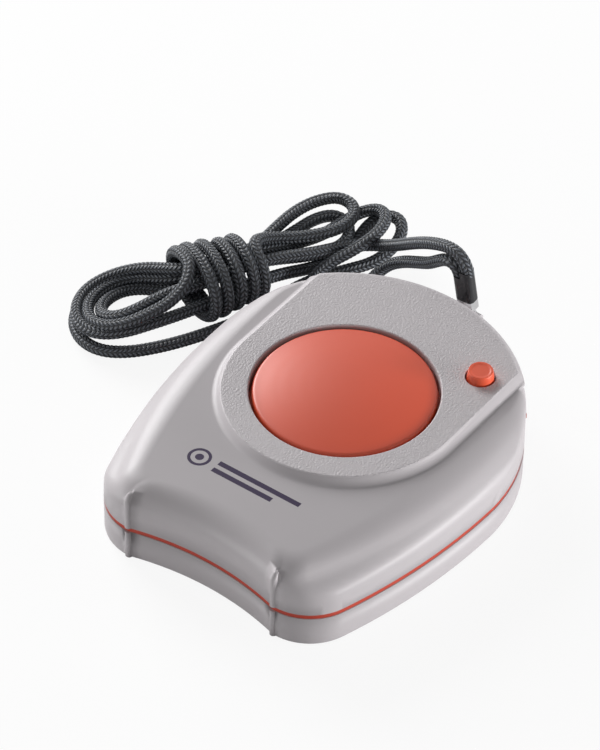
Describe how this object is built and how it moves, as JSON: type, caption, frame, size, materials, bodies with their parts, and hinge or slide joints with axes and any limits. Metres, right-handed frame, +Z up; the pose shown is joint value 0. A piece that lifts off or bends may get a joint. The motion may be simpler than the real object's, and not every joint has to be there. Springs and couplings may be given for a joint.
{
  "type": "wireless panic button",
  "caption": "Palm-size radio pendant with a large domed push button, a small second button, a concave front and a bundled neck cord.",
  "frame": {"origin": "foot of the big button's axis on the flat back of the case", "axes": "+Z up through the big button, +Y along the case from the concave front to the cord end, +X to the right of the print"},
  "size_m": [0.0935, 0.0931, 0.0229],
  "materials": {
    "shell": "satin warm light grey moulding",
    "coral": "satin coral moulding",
    "strip": "soft coral strip",
    "black_plastic": "black moulding",
    "board": "green solder resist",
    "cell": "plated steel can",
    "contact": "plated spring steel",
    "steel": "plated steel",
    "bright": "bright plated",
    "sleeve": "glossy black sleeve",
    "cord": "braided black polyester"
  },
  "bodies": {
    "case": {"upper_shell": "shell", "lower_shell": "shell", "sealing_strip": "strip", "panic_switch_body": "black_plastic", "test_switch_body": "black_plastic", "circuit_board": "board", "coin_cell": "cell", "cell_holder": "black_plastic", "negative_contact": "contact", "positive_contact": "contact", "microcontroller": "black_plastic", "radio_module": "steel", "crystal_can": "steel", "antenna_loop": "contact", "chip_capacitors": "contact", "case_screws": "steel", "lanyard_bar": "steel", "lanyard_clip": "bright", "cord_sleeve": "sleeve", "cord_strand_1": "cord", "cord_strand_2": "cord", "cord_hank": "cord"},
    "panic_button": {"panic_button": "coral", "panic_switch_plunger": "black_plastic"},
    "test_button": {"test_button": "coral", "test_switch_plunger": "black_plastic"}
  },
  "joints": [
    {"name": "panic_press", "type": "slide", "parent": "case", "child": "panic_button", "axis": [0, 0, -1], "range_m": [0, 0.0006], "stiffness_N_per_m": 1500, "springref_m": -0.001},
    {"name": "test_press", "type": "slide", "parent": "case", "child": "test_button", "axis": [0, 0, -1], "range_m": [0, 0.0005], "stiffness_N_per_m": 1200, "springref_m": -0.001}
  ]
}
